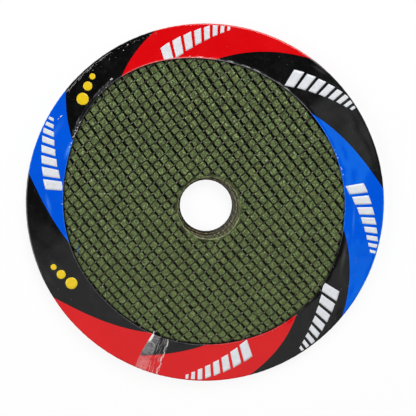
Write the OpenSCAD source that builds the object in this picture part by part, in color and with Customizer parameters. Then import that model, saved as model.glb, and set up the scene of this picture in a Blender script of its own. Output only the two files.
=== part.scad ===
// Flat cut-off wheel with a printed shrink film lapped over its rim.
// Lies flat: the axis of the bore is +Z and the underside of the film is on z = 0.
// All sizes are in millimetres and all angles in degrees.

/* [Wheel] */
// Outside diameter of the bonded wheel
wheel_d = 107; // [80:1:180]
// Thickness over the pads of both faces
wheel_t = 3; // [1.6:0.1:6]
// Diameter of the arbor bore
bore_d = 16; // [10:0.1:25.4]
// Edge break round the rim
rim_break = 0.3; // [0.1:0.05:0.5]
// Edge break of the bore on the underside
bore_break = 0.25; // [0.1:0.05:0.5]

/* [Bare ring at the bore] */
// How far the mesh stays back from the bore, on average
ring_w = 1.5; // [0.8:0.1:4]
// Depth of the bare ring below the pads
ring_depth = 0.5; // [0.4:0.05:0.8]
// Sideways shift of the mesh's centre hole from the bore
ring_shift_x = 0.9; // [-1.2:0.05:1.2]
// Shift of the mesh's centre hole toward the seam
ring_shift_y = -0.8; // [-1.2:0.05:1.2]

/* [Woven face] */
// Pitch of the coarse grooves
coarse_pitch = 2.62; // [2:0.02:4]
// Pitch of the fine grooves
fine_pitch = 2.17; // [1.8:0.01:4]
// Width of a coarse groove at the surface
coarse_w = 0.85; // [0.4:0.05:1.2]
// Width of a fine groove at the surface
fine_w = 0.6; // [0.3:0.05:1]
// Depth of a coarse groove
coarse_depth = 0.36; // [0.26:0.02:0.5]
// Depth of a fine groove
fine_depth = 0.22; // [0.1:0.02:0.24]
// Direction of the coarse grooves from +X
coarse_turn = -51.5; // [-90:0.5:90]
// Angle from the coarse grooves to the fine ones
weave_angle = 92; // [80:0.5:100]
// How far the grooves run on under the film
groove_tuck = 1; // [0.2:0.1:3]

/* [Film] */
// Thickness of the film
film_t = 0.2; // [0.1:0.05:0.5]
// Clearance between the rim and the film
film_gap = 0.05; // [0.05:0.05:0.4]
// Width of the film's lap on each face, from the rim
film_lap = 10.9; // [4:0.1:20]
// Outside bend radius where the film turns over the rim
film_bend = 0.6; // [0.3:0.05:1.2]
// Radius of the rolled edge on the front face
roll_r = 0.2; // [0.1:0.05:0.4]

/* [Lap seam] */
// Angle that the overlap of the film's two ends covers
seam_sweep = 7; // [4:0.5:15]
// Direction of the middle of the overlap from +X
seam_turn = -108.6; // [-180:0.1:180]
// Thickness that the overlap adds
seam_t = 0.1; // [0.05:0.05:0.3]

/* [Hidden] */
$fn = 128;
// Overshoot of the cutters past a face
over = 0.1;

wheel_r = wheel_d / 2;
bore_r = bore_d / 2;
back_z = film_t;
front_z = back_z + wheel_t;
opening_r = wheel_r - film_lap;
groove_r = opening_r + min(groove_tuck, film_lap / 2);
film_in_r = wheel_r + film_gap;
film_out_r = film_in_r + film_t;
// The bend stays small enough to keep film between it and the wheel's broken edge
bend_r = min(film_bend, 1.7 * (film_t + rim_break), wheel_t / 3);
ring_r = bore_r + ring_w;
// The shift is kept short enough to leave some bare ring all round
shift_max = ring_w - 0.2;
shift_len = norm([ring_shift_x, ring_shift_y]);
shift_scale = shift_len > shift_max ? shift_max / shift_len : 1;
film_red = [0.80, 0.05, 0.06];
pad_green = [0.35, 0.42, 0.24];

// One V groove along X, with its mouth on z = 0 and its valley below.
module v_groove(w, depth, length) {
  mouth = w / 2 * (1 + over / depth);
  translate([-length / 2, 0, 0])
    rotate([90, 0, 90])
      linear_extrude(length)
        polygon([[-mouth, over], [0, -depth], [mouth, over]]);
}

// Parallel grooves, each cut to the chord of the circle of radius groove_r.
module groove_family(pitch, w, depth) {
  count = floor((groove_r - w) / pitch);
  for (i = [-count : count]) {
    y = i * pitch;
    translate([0, y, 0])
      v_groove(w, depth, 2 * sqrt(groove_r * groove_r - y * y));
  }
}

// Section of the bonded disc with its edges broken, revolved about Z.
module disc_blank() {
  rotate_extrude()
    polygon([
      [0, back_z],
      [wheel_r - rim_break, back_z],
      [wheel_r, back_z + rim_break],
      [wheel_r, front_z - rim_break],
      [wheel_r - rim_break, front_z],
      [0, front_z]
    ]);
}

// The bonded wheel: grid of pads in front, coarse grooves behind, bare ring and bore.
module abrasive_wheel() {
  color(pad_green)
    difference() {
      disc_blank();
      translate([0, 0, front_z])
        rotate(coarse_turn)
          groove_family(coarse_pitch, coarse_w, coarse_depth);
      translate([0, 0, front_z])
        rotate(coarse_turn + weave_angle)
          groove_family(fine_pitch, fine_w, fine_depth);
      translate([0, 0, back_z])
        rotate(coarse_turn)
          mirror([0, 0, 1])
            groove_family(coarse_pitch, coarse_w, coarse_depth);
      translate([ring_shift_x * shift_scale, ring_shift_y * shift_scale, front_z - ring_depth])
        cylinder(h = ring_depth + over, r = ring_r);
      translate([0, 0, back_z - over])
        cylinder(h = wheel_t + 2 * over, r = bore_r);
      translate([0, 0, back_z - over])
        cylinder(h = bore_break + over, r1 = bore_r + bore_break + over, r2 = bore_r);
    }
}

// Section of the film's outside, a slab with its two rim corners bent round.
module film_outside(grow) {
  low = back_z - film_t;
  high = front_z + film_t + grow;
  edge = film_out_r + grow;
  translate([opening_r, low])
    square([edge - bend_r - opening_r, high - low]);
  translate([edge - bend_r, low + bend_r])
    square([bend_r, high - low - 2 * bend_r]);
  translate([edge - bend_r, low + bend_r])
    circle(bend_r);
  translate([edge - bend_r, high - bend_r])
    circle(bend_r);
}

// Section of the room that the wheel takes up inside the film.
module film_inside() {
  polygon([
    [0, back_z],
    [film_in_r - rim_break, back_z],
    [film_in_r, back_z + rim_break],
    [film_in_r, front_z - rim_break],
    [film_in_r - rim_break, front_z],
    [0, front_z]
  ]);
}

// The film: a C section revolved round the rim, its rolled edge and its lapped seam.
module rim_film() {
  color(film_red) {
    rotate_extrude()
      difference() {
        film_outside(0);
        film_inside();
      }
    rotate_extrude()
      translate([opening_r, front_z + roll_r])
        circle(roll_r);
    rotate(seam_turn - seam_sweep / 2)
      rotate_extrude(angle = seam_sweep)
        difference() {
          film_outside(seam_t);
          film_inside();
        }
  }
}

abrasive_wheel();
rim_film();
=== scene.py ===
"""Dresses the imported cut-off wheel: pads, glass threads, bare bore ring, printed film and its lap seam."""

import math
from types import SimpleNamespace

import bmesh
import bpy
import numpy as np
from mathutils import Matrix, Quaternion, Vector


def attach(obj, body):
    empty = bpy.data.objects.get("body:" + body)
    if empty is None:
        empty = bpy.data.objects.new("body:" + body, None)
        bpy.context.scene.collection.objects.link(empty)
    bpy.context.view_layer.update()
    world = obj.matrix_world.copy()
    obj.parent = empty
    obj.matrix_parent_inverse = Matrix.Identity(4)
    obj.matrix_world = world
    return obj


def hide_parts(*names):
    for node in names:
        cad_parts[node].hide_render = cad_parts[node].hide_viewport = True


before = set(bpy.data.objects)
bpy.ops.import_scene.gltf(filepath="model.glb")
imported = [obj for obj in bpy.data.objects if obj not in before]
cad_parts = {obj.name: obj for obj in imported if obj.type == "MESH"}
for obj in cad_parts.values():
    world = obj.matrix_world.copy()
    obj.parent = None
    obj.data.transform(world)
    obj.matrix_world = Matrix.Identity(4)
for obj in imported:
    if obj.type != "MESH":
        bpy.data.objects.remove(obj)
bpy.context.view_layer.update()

MM = 0.001
BODY = "root"
QUARTER_TURN = math.pi / 2
FULL_TURN = 2 * math.pi

# Sizes of the wheel in millimetres, as the solids have them or a little inside.
FRONT_Z = 3.2
BACK_Z = 0.2
RIM_R = 53.4
RIM_BREAK = 0.3
BORE_R = 7.9
RING_R = 9.35
RING_X = 0.9
RING_Y = -0.8
BACK_RING = (0.2, 0.1, 8.7)
THREAD_END_R = 46.4
SHOULDER_R = 46.9


# Small tools


def srgb(r, g, b):
    """A display colour from 0 to 255 as linear red, green, blue and alpha."""

    def one(c):
        c = c / 255.0
        return c / 12.92 if c <= 0.04045 else ((c + 0.055) / 1.055) ** 2.4

    return (one(r), one(g), one(b), 1.0)


def tone(r, g, b):
    """The same colour without alpha, to be mixed point by point."""
    return np.asarray(srgb(r, g, b)[:3])


def shade(colour, amount):
    """A colour made lighter or darker by an amount for each point."""
    return colour * np.asarray(amount)[:, None]


def smooth_step(lo, hi, x):
    """A soft change from 0 at lo to 1 at hi."""
    t = np.clip((np.asarray(x, float) - lo) / (hi - lo), 0, 1)
    return t * t * (3 - 2 * t)


def bell(x, width):
    """1 at zero, falling off softly to both sides within about the width."""
    return np.exp(-((x / width) ** 2))


def around(count):
    """Turns of points spread evenly round a circle, in radians."""
    return np.arange(count) * 2 * math.pi / count


def wrapped(deg):
    """The same direction as an angle from -180 to 180 degrees."""
    return (deg + 180.0) % 360.0 - 180.0


class Ripple:
    """Smooth seeded noise from a sum of sines, about -1 to 1, at a wavelength in millimetres."""

    def __init__(self, seed, wavelength, terms=9):
        rng = np.random.default_rng(seed)
        turn = rng.uniform(0, FULL_TURN, terms)
        size = FULL_TURN / (wavelength * rng.uniform(0.7, 1.5, terms))
        self.kx = size * np.cos(turn)
        self.ky = size * np.sin(turn)
        self.shift = rng.uniform(0, FULL_TURN, terms)
        self.gain = 1.6 / math.sqrt(terms)

    def __call__(self, x, y):
        x = np.asarray(x, float)[..., None]
        y = np.asarray(y, float)[..., None]
        wave = np.sin(x * self.kx + y * self.ky + self.shift)
        return np.clip(wave.sum(-1) * self.gain * 0.62, -1, 1)


def grid_faces(base, rows, points, flip=False):
    """Faces of a grid that starts at the point base and is stored row by row."""
    faces = []
    for row in range(rows - 1):
        start = base + row * points
        for p in range(start, start + points - 1):
            q = p + points
            faces.append((p, q, q + 1, p + 1) if flip else (p, p + 1, q + 1, q))
    return faces


def band_faces(p, q, sides):
    """Faces between two closed rings, which start at the points p and q."""
    faces = []
    for k in range(sides):
        n = (k + 1) % sides
        faces.append((p + k, q + k, q + n, p + n))
    return faces


def make_piece(name, verts, faces, materials, slots=None, tint=None):
    """A smooth mesh piece from millimetre points."""
    mesh = bpy.data.meshes.new(name)
    mesh.from_pydata([tuple(v) for v in np.asarray(verts, float) * MM], [], [tuple(f) for f in faces])
    for material in materials:
        mesh.materials.append(material)
    if slots is not None:
        mesh.polygons.foreach_set("material_index", np.asarray(slots, np.int32))
    if tint is not None:
        opaque = np.concatenate([np.asarray(tint, float), np.ones((len(tint), 1))], 1)
        layer = mesh.color_attributes.new("tint", "FLOAT_COLOR", "POINT")
        layer.data.foreach_set("color", opaque.astype(np.float32).ravel())
    mesh.polygons.foreach_set("use_smooth", np.ones(len(mesh.polygons), bool))
    mesh.update()
    obj = bpy.data.objects.new(name, mesh)
    bpy.context.scene.collection.objects.link(obj)
    return obj


def clean_mesh(obj, merge):
    """Joins points that share a place and drops faces with no area."""
    bm = bmesh.new()
    bm.from_mesh(obj.data)
    bmesh.ops.remove_doubles(bm, verts=bm.verts, dist=merge * MM)
    bmesh.ops.dissolve_degenerate(bm, dist=merge * MM, edges=bm.edges)
    bm.to_mesh(obj.data)
    bm.free()


def face_up(obj):
    """Turns every face of a flat piece upward."""
    for face in obj.data.polygons:
        if face.normal.z < 0:
            face.flip()
    obj.data.update()


def thicken(obj, thickness):
    """Gives a surface its thickness in millimetres, on its inner side."""
    shell = obj.modifiers.new("thickness", "SOLIDIFY")
    shell.thickness = thickness * MM
    shell.offset = -1.0


class Skin:
    """Faces stretched over rings of points, gathered into one piece."""

    def __init__(self):
        self.verts = []
        self.faces = []
        self.tint = []

    def add(self, rings, tint, flip, loop=False):
        """Joins each ring to the next. In a loop the last joins the first, or else both ends are flat."""
        count, sides, _ = rings.shape
        starts = [len(self.verts) + k * sides for k in range(count)]
        nexts = starts[1:] + starts[:1] if loop else starts[1:]
        faces = [face for p, q in zip(starts, nexts) for face in band_faces(p, q, sides)]
        if not loop:
            faces.append(tuple(range(starts[0], starts[0] + sides)))
            faces.append(tuple(reversed(range(starts[-1], starts[-1] + sides))))
        self.verts.extend(rings.reshape(-1, 3))
        self.tint.extend(np.broadcast_to(tint, rings.shape).reshape(-1, 3))
        self.faces.extend(face[::-1] if flip else face for face in faces)

    def make(self, name, material):
        return make_piece(name, self.verts, self.faces, [material], tint=self.tint)


# Materials


class Nodes:
    """A short way to write a node material."""

    def __init__(self, name):
        self.material = bpy.data.materials.new(name)
        self.material.use_nodes = True
        self.tree = self.material.node_tree
        self.shader = self.tree.nodes["Principled BSDF"]
        self.coord = self.add("ShaderNodeTexCoord", {}).outputs["Object"]

    def fill(self, node, values):
        """Sets a node's inputs to numbers and colours, or links them to other nodes' outputs."""
        for key, value in values.items():
            if hasattr(value, "is_output"):
                self.tree.links.new(value, node.inputs[key])
            else:
                node.inputs[key].default_value = value

    def add(self, kind, values, **settings):
        """A node with its settings made and its inputs filled."""
        node = self.tree.nodes.new(kind)
        for key, value in settings.items():
            setattr(node, key, value)
        self.fill(node, values)
        return node

    def noise(self, scale_mm, detail=2.0, rough=0.5, stretch=None):
        """Noise whose features are about scale_mm across."""
        place = self.coord
        if stretch is not None:
            place = self.add("ShaderNodeMapping", {"Vector": place, "Scale": stretch}).outputs["Vector"]
        values = {"Vector": place, "Scale": 1.0 / (scale_mm * MM), "Detail": detail, "Roughness": rough}
        return self.add("ShaderNodeTexNoise", values).outputs["Fac"]

    def cells(self, scale_mm):
        """Grains about scale_mm across: a random colour each, and the distance from their middles."""
        values = {"Vector": self.coord, "Scale": 1.0 / (scale_mm * MM)}
        return self.add("ShaderNodeTexVoronoi", values).outputs

    def ramp(self, source, stops):
        """Colours or greys at positions from 0 to 1."""
        node = self.add("ShaderNodeValToRGB", {"Fac": source})
        ramp = node.color_ramp
        while len(ramp.elements) < len(stops):
            ramp.elements.new(0.5)
        for element, (place, colour) in zip(ramp.elements, stops):
            element.position = place
            element.color = colour if isinstance(colour, tuple) else (colour, colour, colour, 1.0)
        return node.outputs["Color"]

    def mix(self, kind, share, under, over):
        """Two colours mixed."""
        values = {"Factor": share, "A": under, "B": over}
        node = self.add("ShaderNodeMix", values, data_type="RGBA", blend_type=kind)
        return next(output for output in node.outputs if output.type == "RGBA")

    def rising_y(self, low, high):
        """A value that rises from low at the bottom of the wheel to high at its top."""
        y = self.add("ShaderNodeSeparateXYZ", {"Vector": self.coord}).outputs["Y"]
        values = {"Value": y, "From Min": -30 * MM, "From Max": 30 * MM, "To Min": low, "To Max": high}
        return self.add("ShaderNodeMapRange", values).outputs["Result"]

    def tint(self):
        """The colours that the mesh's own points carry."""
        return self.add("ShaderNodeAttribute", {}, attribute_name="tint").outputs["Color"]

    def surface(self, colour, rough, specular, bumps):
        """The finished material, with chained bumps given as pairs of a source and a depth in millimetres."""
        normal = {}
        for source, depth in bumps:
            values = {"Strength": 1.0, "Distance": depth * MM, "Height": source, **normal}
            normal = {"Normal": self.add("ShaderNodeBump", values).outputs["Normal"]}
        values = {"Base Color": colour, "Roughness": rough, "Specular IOR Level": specular, **normal}
        self.fill(self.shader, values)
        return self.material


def pad_material():
    """Bonded grit: mottled by cloud, speckled grain by grain with painted highlights, and tinted pad by pad
    with painted shade.
    """
    n = Nodes("pad_abrasive")
    greens = [(0.32, srgb(66, 79, 41)), (0.5, srgb(84, 98, 54)), (0.68, srgb(103, 118, 70))]
    grains = [(0.1, 0.14), (0.4, 0.76), (0.75, 1.24), (0.9, (3.1, 3.1, 3.9, 1.0))]
    colour = n.ramp(n.noise(0.7, 4.0, 0.7), greens)
    speckle = n.ramp(n.cells(0.3)["Color"], grains)
    # Painted highlights: the grains speckle the colour fully at the top of the wheel and about half as much
    # at its bottom, and the brightest of them are painted highlights.
    colour = n.mix("MULTIPLY", n.rising_y(0.45, 1.0), colour, speckle)
    # Painted glints: a few grains painted pale, standing in for grains that catch the light.
    glint = n.ramp(n.cells(0.42)["Color"], [(0.935, 0.0), (0.965, 1.0)])
    colour = n.mix("MIX", glint, colour, srgb(170, 174, 156))
    colour = n.mix("MULTIPLY", 1.0, colour, n.tint())
    rough = n.ramp(n.noise(0.4, 2.0), [(0.3, 0.62), (0.7, 0.85)])
    bumps = [(n.noise(0.5, 3.0, 0.65), 0.05), (n.cells(0.22)["Distance"], 0.025)]
    return n.surface(colour, rough, 0.35, bumps)


def thread_material(name, specular):
    """Resin-soaked glass yarn with fine fibres."""
    n = Nodes(name)
    fleck = n.ramp(n.noise(0.3, 2.0, 0.6), [(0.35, 0.6), (0.7, 1.35)])
    colour = n.mix("MULTIPLY", 1.0, n.tint(), fleck)
    return n.surface(colour, 0.5, specular, [(n.noise(0.12, 2.0), 0.02)])


def tinted_material(name, rough, specular, grain_mm, grain_depth):
    """Colour from the mesh's own points, broken up by fine grain."""
    n = Nodes(name)
    grain = n.noise(grain_mm, 3.0, 0.6)
    fleck = n.ramp(grain, [(0.3, 0.75), (0.7, 1.2)])
    colour = n.mix("MULTIPLY", 1.0, n.tint(), fleck)
    return n.surface(colour, rough, specular, [(grain, grain_depth)])


def film_waves(n):
    """The soft waves and the fine grain of shrunk film, as bumps."""
    return [(n.noise(9.0, 1.0), 0.06), (n.noise(0.9, 2.0), 0.002)]


def film_material(name, base, shaded, worn_and_sheen, scuffed, rough=0.11, specular=0.5, sheen=(1, 1, 1, 1)):
    """Glossy printed film: an even ink with faint mottling and fine scuffs, turned pale by the tint where it
    is worn and where highlights and reflections are painted.
    """
    n = Nodes(name)
    colour = n.ramp(n.noise(14.0, 2.0), [(0.3, shaded), (0.7, base)])
    scuff = n.ramp(n.noise(1.6, 4.0, 0.7, (1.0, 3.5, 1.0)), [(0.6, 0.0), (0.72, scuffed)])
    smudge = n.ramp(n.noise(4.0, 3.0, 0.6), [(0.5, 0.0), (0.75, scuffed * 0.25)])
    colour = n.mix("ADD", 1.0, colour, scuff)
    colour = n.mix("ADD", 1.0, colour, smudge)
    # The tint turns the ink pale, partly where it is worn and partly as painted highlights and reflections.
    colour = n.mix("MIX", n.tint(), colour, worn_and_sheen)
    gloss = n.ramp(n.noise(5.0, 3.0), [(0.3, rough), (0.7, rough * 1.6)])
    n.fill(n.shader, {"Specular Tint": sheen})
    return n.surface(colour, gloss, specular, film_waves(n))


def ink_material(name, base, shaded):
    """Printed ink on the film, slightly uneven and nearly as glossy as the film."""
    n = Nodes(name)
    colour = n.ramp(n.noise(1.2, 3.0), [(0.3, shaded), (0.7, base)])
    return n.surface(colour, 0.22, 0.5, film_waves(n))


PAD = pad_material()
CORE = tinted_material("core_abrasive", 0.8, 0.25, 0.3, 0.06)
COARSE_YARN = thread_material("coarse_yarn", 0.08)
FINE_YARN = thread_material("fine_yarn", 0.4)
LIP = tinted_material("bore_lip", 0.6, 0.4, 0.2, 0.03)
RED = film_material("film_red", srgb(217, 0, 8), srgb(211, 0, 6), srgb(240, 190, 190), 0.008)
BLACK = film_material("film_black", srgb(4, 4, 5), srgb(3, 3, 4), srgb(178, 178, 182), 0.02)
BLUE = film_material(
    "film_blue", srgb(0, 88, 224), srgb(0, 80, 216), srgb(90, 165, 250), 0.01,
    rough=0.05, specular=1.0, sheen=(0.1, 0.8, 1, 1),
)
SEAM = tinted_material("film_seam", 0.25, 0.5, 0.6, 0.01)
WHITE_INK = ink_material("ink_white", srgb(226, 228, 232), srgb(214, 217, 222))
YELLOW_INK = ink_material("ink_yellow", srgb(236, 204, 28), srgb(228, 192, 20))


# The weave

# Distance from the middle at which the weave's bends are counted, in millimetres.
SPAN = 40.0


class Threads:
    """One family of the mesh's threads, at whole phases, with pads between them at half phases.

    Bow, splay and drift say how many pitches the threads bend, fan out and spread to one side at SPAN from
    the middle. Crowd is the share by which they close up there.
    """

    def __init__(self, pitch, turn, bow, splay, drift, crowd):
        self.pitch = pitch
        self.c = math.cos(math.radians(turn))
        self.s = math.sin(math.radians(turn))
        self.bow = bow
        self.splay = splay
        self.drift = drift
        self.crowd = crowd

    def places(self, x, y):
        """Places across and along the threads, as shares of SPAN."""
        return (x * self.c + y * self.s) / SPAN, (y * self.c - x * self.s) / SPAN

    def phase(self, x, y):
        """How many threads lie between the middle and a place."""
        p, q = self.places(x, y)
        even = SPAN / self.pitch * p * (1 + self.crowd * (p * p + q * q))
        return even + self.drift * p * p + self.splay * p * q + self.bow * q * q

    def slope(self, x, y):
        """How fast the phase grows along x and along y."""
        p, q = self.places(x, y)
        count = SPAN / self.pitch
        across = count * (1 + self.crowd * (3 * p * p + q * q)) + 2 * self.drift * p + self.splay * q
        along = 2 * count * self.crowd * p * q + self.splay * p + 2 * self.bow * q
        return (across * self.c - along * self.s) / SPAN, (across * self.s + along * self.c) / SPAN


# Pitch in millimetres, and the direction across the threads in degrees.
COARSE = Threads(pitch=2.623, turn=38.82, bow=-0.49, splay=-0.26, drift=0.06, crowd=0.0145)
FINE = Threads(pitch=2.176, turn=-49.7, bow=-0.05, splay=-0.10, drift=0.28, crowd=0.006)
# Threads on each side of the middle, enough to cover the face.
COARSE_COUNT = 17
FINE_COUNT = 23


def weave_point(a, b):
    """Where the coarse phase is a and the fine phase is b, by Newton's steps from straight threads."""
    a = np.asarray(a, float)
    b = np.asarray(b, float)
    det = COARSE.c * FINE.s - COARSE.s * FINE.c
    x = (a * COARSE.pitch * FINE.s - b * FINE.pitch * COARSE.s) / det
    y = (b * FINE.pitch * COARSE.c - a * COARSE.pitch * FINE.c) / det
    for _ in range(6):
        miss_a = COARSE.phase(x, y) - a
        miss_b = FINE.phase(x, y) - b
        ax, ay = COARSE.slope(x, y)
        bx, by = FINE.slope(x, y)
        det = ax * by - ay * bx
        x = x - (miss_a * by - miss_b * ay) / det
        y = y - (miss_b * ax - miss_a * bx) / det
    return x, y


def side_z(z, front):
    """A height measured for the front face, mirrored for the back one."""
    return z if front else FRONT_Z + BACK_Z - z


def ring_of(front):
    """Centre and radius of the hole that the mesh leaves round the bore."""
    return (RING_X, RING_Y, RING_R) if front else BACK_RING


def lap_r(deg, front):
    """Radius of the film's cut edge on one face."""
    return opening_r(deg) if front else back_opening_r(deg)


# Pads

PAD_SEGMENTS = 16
# Share of the pad's half width, and depth below its crown.
PAD_RINGS = ((0.5, 0.0), (0.84, 0.016), (0.96, 0.06), (1.0, 0.15), (1.02, 0.6))
# Half widths in pitches of each family.
PAD_HALF_COARSE = 0.39
PAD_HALF_FINE = 0.438
# How square a pad's outline is: 2 would be an ellipse.
PAD_SQUARENESS = 5.6
# Beside the bore the mesh is torn and pads have crumbled: middle and reach of that patch, and loose crumbs.
CRUMBLED_X = 10.9
CRUMBLED_Y = -1.6
CRUMBLED_R = 2.7
CRUMBS = 36
# Gap between the pads and the film, and how much wider it gets in one direction.
FILM_GAP = 0.02
FILM_GAP_GROWS = 0.26
FILM_GAP_TURN = math.radians(-110)


def pad_end_r(x, y, front):
    """How far out the pads reach: just short of the film's edge, and further from it at the lower left."""
    turn = np.arctan2(y, x)
    gap = FILM_GAP + FILM_GAP_GROWS * smooth_step(0.3, 0.95, np.cos(turn - FILM_GAP_TURN))
    return lap_r(np.degrees(turn), front) - gap


def pad_windows(front, rng):
    """Phases, places and sizes of the pads: one to a window of the mesh, and crumbs on the torn patch."""
    span_a = np.arange(-COARSE_COUNT, COARSE_COUNT + 1) + 0.5
    span_b = np.arange(-FINE_COUNT, FINE_COUNT + 1) + 0.5
    a, b = (g.ravel() for g in np.meshgrid(span_a, span_b, indexing="ij"))
    x, y = weave_point(a, b)
    cx, cy, cr = ring_of(front)
    keep = (np.hypot(x, y) < pad_end_r(x, y, front) + 0.7) & (np.hypot(x - cx, y - cy) > cr + 0.1)
    a, b, x, y = a[keep], b[keep], x[keep], y[keep]
    size = np.ones(len(a))
    if not front:
        return a, b, x, y, size
    crumbled = np.hypot(x - CRUMBLED_X, y - CRUMBLED_Y) < CRUMBLED_R
    size[crumbled] = rng.uniform(0.72, 0.95, crumbled.sum())
    out = CRUMBLED_R * np.sqrt(rng.uniform(0, 1, CRUMBS))
    way = rng.uniform(0, FULL_TURN, CRUMBS)
    crumb_x = CRUMBLED_X + out * np.cos(way)
    crumb_y = CRUMBLED_Y + out * np.sin(way)
    size = np.append(size, rng.uniform(0.18, 0.4, CRUMBS))
    a = np.append(a, COARSE.phase(crumb_x, crumb_y))
    b = np.append(b, FINE.phase(crumb_x, crumb_y))
    return a, b, np.append(x, crumb_x), np.append(y, crumb_y), size


def squared(wave):
    """A sine or cosine flattened, so that it draws a rounded square."""
    return np.sign(wave) * np.abs(wave) ** (2 / PAD_SQUARENESS)


def trim_pads(x, y, front, ragged):
    """Ends the pads on the mesh's hole, and short of the film's edge, which leaves a dark gap along it."""
    cx, cy, cr = ring_of(front)
    dx = x - cx
    dy = y - cy
    d = np.hypot(dx, dy)
    frayed = cr + 0.12 * ragged(3 * dx, 3 * dy)
    push = np.where(d < frayed, frayed / np.maximum(d, 1e-6), 1.0)
    x = cx + dx * push
    y = cy + dy * push
    cut = np.minimum(1.0, pad_end_r(x, y, front) / np.hypot(x, y))
    return x * cut, y * cut


def pad_faces(count, front):
    """Faces of all the pads, each a fan on top, bands down its sides and a flat underneath."""
    per_pad = 1 + PAD_SEGMENTS * len(PAD_RINGS)
    one = [(0, 1 + m, 1 + (m + 1) % PAD_SEGMENTS) for m in range(PAD_SEGMENTS)]
    for ring in range(1, per_pad - PAD_SEGMENTS, PAD_SEGMENTS):
        one.extend(band_faces(ring, ring + PAD_SEGMENTS, PAD_SEGMENTS))
    one.append(tuple(reversed(range(per_pad - PAD_SEGMENTS, per_pad))))
    # The weave's own axes are left-handed on the front, so its faces are turned over there.
    if front:
        one = [face[::-1] for face in one]
    return [tuple(v + pad * per_pad for v in face) for pad in range(count) for face in one]


def pad_tints(x, y, drop, front, rng):
    """Each pad's own tone, with painted shade down its sides and a painted shadow along the film's cut edge.
    """
    tones = rng.normal(1.01, 0.035, (len(x), 1))
    warm = rng.normal(0.0, 0.016, (len(x), 1))
    turn = np.arctan2(y, x)
    inside = lap_r(np.degrees(turn), front) - np.hypot(x, y)
    # Painted shadow: pads close under the film's cut edge are painted darker, less so toward the right.
    film_edge_shade = 0.85 - 0.4 * smooth_step(0.2, 0.9, np.cos(turn - 0.3))
    # Painted shade: each pad is painted darker down its sides into the grooves.
    light = 1.0 - 0.85 * smooth_step(0.05, 0.3, drop)
    light = light * (1.0 - film_edge_shade * smooth_step(0.8, 0.25, inside))
    tint = np.stack([light * (tones + warm), light * tones, light * (tones - warm)], -1)
    return tint.reshape(-1, 3)


def build_pads(name, front, seed):
    """The abrasive standing in the windows of the mesh, one rounded pad to a window."""
    rng = np.random.default_rng(seed)
    ragged = Ripple(seed + 1, 0.7)
    rough = Ripple(seed + 2, 0.45, 12)
    a, b, x, y, size = pad_windows(front, rng)
    count = len(a)
    a = a + rng.normal(0, 0.018, count) + (1 - size) * rng.normal(0, 0.3, count)
    b = b + rng.normal(0, 0.014, count) + (1 - size) * rng.normal(0, 0.3, count)
    # Toward the upper right the fine grooves close up and the coarse ones open.
    upper_right = np.clip((x + y) / 40, 0, 1)
    half_a = size * PAD_HALF_COARSE * (1 - 0.03 * upper_right) * rng.normal(1.0, 0.05, count)
    half_b = size * (PAD_HALF_FINE + 0.014 * upper_right) * rng.normal(1.0, 0.022, count)
    lift = rng.normal(0, 0.022, count)
    lean = rng.normal(0, 0.03, (count, 2))
    wobble = rng.normal(0, 0.045, (count, PAD_SEGMENTS))

    turn = around(PAD_SEGMENTS)
    middle = np.zeros((count, 1))
    away_a = [middle]
    away_b = [middle]
    drops = [middle]
    for share, drop in PAD_RINGS:
        grow = share * (1 + wobble * share)
        away_a.append(half_a[:, None] * squared(np.cos(turn)) * grow)
        away_b.append(half_b[:, None] * squared(np.sin(turn)) * grow)
        drops.append(np.full_like(wobble, drop))
    away_a = np.concatenate(away_a, 1)
    away_b = np.concatenate(away_b, 1)
    drop = np.concatenate(drops, 1)
    x, y = weave_point(a[:, None] + away_a, b[:, None] + away_b)
    x = x + 0.045 * ragged(x, y)
    y = y + 0.045 * ragged(y + 31.0, x)
    tilt = lean[:, :1] * away_a + lean[:, 1:] * away_b
    z = FRONT_Z - 0.05 - drop + lift[:, None] + tilt + 0.016 * rough(x, y)
    z = np.minimum(z, FRONT_Z - 0.004)
    x, y = trim_pads(x, y, front, ragged)
    verts = np.stack([x, y, side_z(z, front)], -1).reshape(-1, 3)
    tint = pad_tints(x, y, drop, front, rng)
    return make_piece(name, verts, pad_faces(count, front), [PAD], tint=tint)


# Glass threads

THREAD_SIDES = 6
# Length of a piece of thread, in pitches of the other family, and how far the threads are followed.
THREAD_STEP = 0.2
THREAD_REACH = 26
# Width and thickness in millimetres, depth of the thread's middle below the pads and its rise at a crossing.
# Colours: plain, painted lighter toward the bottom of the wheel, and pale at crossings, partly worn and
# partly painted glints.
COARSE_THREAD = SimpleNamespace(
    count=COARSE_COUNT, wide=0.50, thick=0.20, deep=0.46, rise=0.02, material=COARSE_YARN,
    dark=tone(2, 2, 2), bottom_lit=tone(33, 32, 26), worn_and_sheen=tone(34, 33, 27),
)
FINE_THREAD = SimpleNamespace(
    count=FINE_COUNT, wide=0.36, thick=0.15, deep=0.34, rise=0.10, material=FINE_YARN,
    dark=tone(30, 31, 21), bottom_lit=tone(52, 54, 38), worn_and_sheen=tone(188, 182, 164),
)


def thread_runs(line, coarse, front):
    """The stretches of one thread that lie on the face: x, y and the phase along it."""
    along = np.arange(-THREAD_REACH, THREAD_REACH + THREAD_STEP, THREAD_STEP)
    own = np.full(len(along), line)
    x, y = weave_point(own, along) if coarse else weave_point(along, own)
    cx, cy, cr = ring_of(front)
    shows = (np.hypot(x, y) < THREAD_END_R) & (np.hypot(x - cx, y - cy) > cr - 0.15)
    ends = np.flatnonzero(np.diff(np.concatenate([[0], shows.astype(int), [0]])))
    for lo, hi in zip(ends[::2], ends[1::2]):
        if hi - lo >= 4:
            yield x[lo:hi], y[lo:hi], along[lo:hi]


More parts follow.
